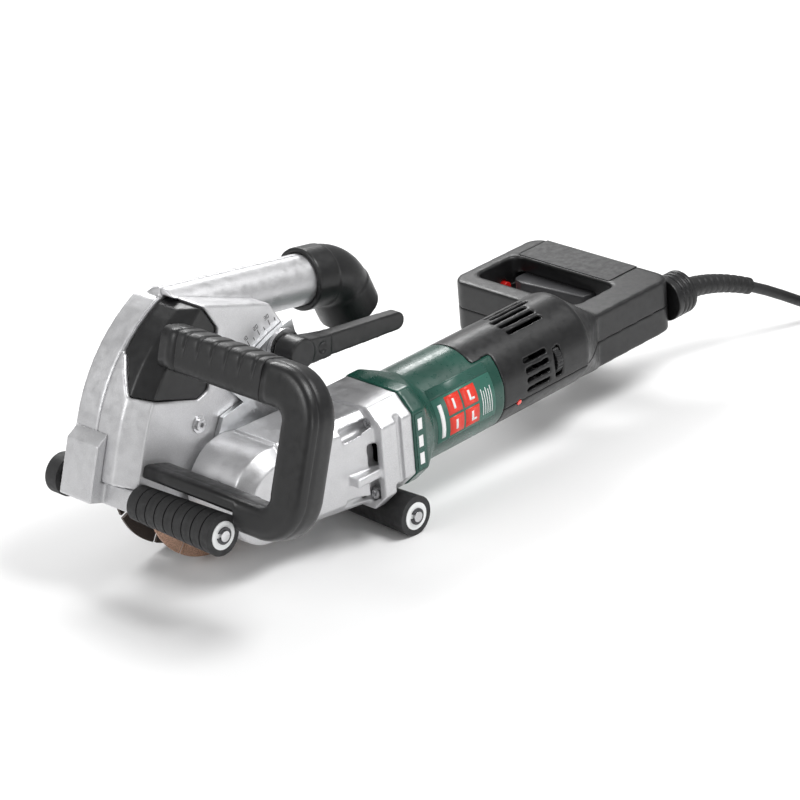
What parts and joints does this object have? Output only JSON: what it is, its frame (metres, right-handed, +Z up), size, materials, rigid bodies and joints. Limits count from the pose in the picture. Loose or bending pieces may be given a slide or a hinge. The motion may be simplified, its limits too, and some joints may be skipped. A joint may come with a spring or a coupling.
{
  "type": "wall chaser",
  "caption": "Corded wall chaser: paired diamond discs in a pivoting cast guard with rollers, bow front handle, suction elbow, green motor housing and a loop rear handle with switch.",
  "frame": {"origin": "on the floor, under the middle of the tool's box without its cord", "axes": "+X in the cutting direction, +Y to the gear case side, +Z up"},
  "size_m": [0.8575, 0.37, 0.2046],
  "materials": {
    "casting": "silver painted casting",
    "bracket_steel": "zinc plated plate",
    "steel": "ground",
    "dark_steel": "blackened",
    "black_plastic": "fine grain",
    "soft_grip": "satin",
    "roller_rubber": "matt",
    "roller_core": "smooth",
    "green_plastic": "fine grain",
    "disc_copper": "copper coloured",
    "disc_steel": "dark",
    "winding": "enamelled copper",
    "lamination": "stacked sheet",
    "brass_part": "plain",
    "carbon": "dull",
    "trigger_plastic": "satin",
    "lock_plastic": "smooth",
    "lens_plastic": "clear",
    "cord_rubber": "satin"
  },
  "bodies": {
    "motor_unit": {"gear_case": "casting", "depth_bracket": "bracket_steel", "bearing_cover": "bracket_steel", "gear_case_screws": "steel", "spindle_bearing": "steel", "motor_housing": "green_plastic", "stator": "lamination", "front_bearing": "steel", "rear_bearing": "steel", "brush_holders": "brass_part", "carbon_brushes": "carbon", "rear_shell_upper": "black_plastic", "rear_shell_lower": "black_plastic", "grip_cover": "soft_grip", "switch_module": "black_plastic", "signal_lens": "lens_plastic", "cable_collar": "black_plastic", "cable_sleeve": "cord_rubber", "trigger_pin": "steel", "mains_cord": "cord_rubber", "cord_coil": "cord_rubber", "cord_lead": "cord_rubber", "mains_plug": "cord_rubber"},
    "guard": {"guard_near_shell": "casting", "guard_far_shell": "casting", "front_carrier": "casting", "rear_carrier": "casting", "front_axle": "steel", "rear_axle": "steel", "axle_circlips": "dark_steel", "handle_mount": "black_plastic", "bow_handle": "black_plastic", "bow_grip": "soft_grip", "guard_screws": "steel", "face_screw": "steel", "clamp_stud": "steel", "clamp_washer": "steel"},
    "lever": {"clamp_lever": "black_plastic"},
    "elbow": {"suction_elbow": "black_plastic"},
    "front_roller": {"front_roller_core": "roller_core", "front_roller_sleeve": "roller_rubber"},
    "rear_roller": {"rear_roller_core": "roller_core", "rear_roller_sleeve": "roller_rubber"},
    "front_side_wheel": {"front_wheel": "roller_rubber"},
    "rear_side_wheel": {"rear_wheel": "roller_rubber"},
    "disc_spindle": {"spindle": "steel", "crown_gear": "dark_steel", "disc_flange": "steel", "disc_spacer": "steel", "clamp_nut": "dark_steel", "near_disc": "disc_copper", "far_disc": "disc_steel"},
    "armature": {"armature_shaft": "steel", "armature_core": "winding", "commutator": "brass_part", "cooling_fan": "black_plastic", "pinion": "dark_steel"},
    "switch_trigger": {"trigger": "trigger_plastic"},
    "switch_lock": {"lock_button": "lock_plastic"},
    "dial": {"speed_dial": "black_plastic"}
  },
  "joints": [
    {"name": "guard_pivot", "type": "hinge", "parent": "motor_unit", "child": "guard", "pos_m": [0.11419, 0.057, 0.0155], "axis": [0, 1, 0], "range_deg": [0, 16.3]},
    {"name": "lever_turn", "type": "hinge", "parent": "guard", "child": "lever", "pos_m": [0.16268, -0.013, 0.14534], "axis": [0, 1, 0], "range_deg": [0, 75]},
    {"name": "elbow_swivel", "type": "hinge", "parent": "guard", "child": "elbow", "pos_m": [0.09156, -0.071, 0.16683], "axis": [-0.9923, 0, -0.1237], "range_deg": [-180, 180]},
    {"name": "front_roller_spin", "type": "hinge", "parent": "guard", "child": "front_roller", "pos_m": [0.30614, 0.017, 0.07165], "axis": [0, 1, 0], "continuous": true},
    {"name": "rear_roller_spin", "type": "hinge", "parent": "guard", "child": "rear_roller", "pos_m": [0.11419, 0.017, 0.0155], "axis": [0, 1, 0], "continuous": true},
    {"name": "front_wheel_spin", "type": "hinge", "parent": "guard", "child": "front_side_wheel", "pos_m": [0.30614, -0.109, 0.07165], "axis": [0, 1, 0], "continuous": true},
    {"name": "rear_wheel_spin", "type": "hinge", "parent": "guard", "child": "rear_side_wheel", "pos_m": [0.11419, -0.109, 0.0155], "axis": [0, 1, 0], "continuous": true},
    {"name": "spindle_spin", "type": "hinge", "parent": "motor_unit", "child": "disc_spindle", "pos_m": [0.22677, 0.0085, 0.0625], "axis": [0, 1, 0], "continuous": true},
    {"name": "armature_spin", "type": "hinge", "parent": "motor_unit", "child": "armature", "pos_m": [0.07694, 0.0085, 0.06955], "axis": [0.9989, 0, -0.047], "continuous": true},
    {"name": "trigger_pull", "type": "hinge", "parent": "motor_unit", "child": "switch_trigger", "pos_m": [-0.19043, -0.0315, 0.06812], "axis": [-0.047, 0, -0.9989], "range_deg": [0, 4.5], "stiffness_Nm_per_rad": 4, "springref_deg": -2.86},
    {"name": "lock_push", "type": "slide", "parent": "motor_unit", "child": "switch_lock", "axis": [0, -1, 0], "range_m": [0, 0.0025], "stiffness_N_per_m": 1500, "springref_m": -0.001},
    {"name": "dial_turn", "type": "hinge", "parent": "motor_unit", "child": "dial", "pos_m": [-0.05877, 0.0355, 0.07894], "axis": [0.9989, 0, -0.047], "range_deg": [-150, 150]}
  ],
  "couplings": [
    {"joint": "armature_spin", "follows": "spindle_spin", "ratio": -3}
  ]
}
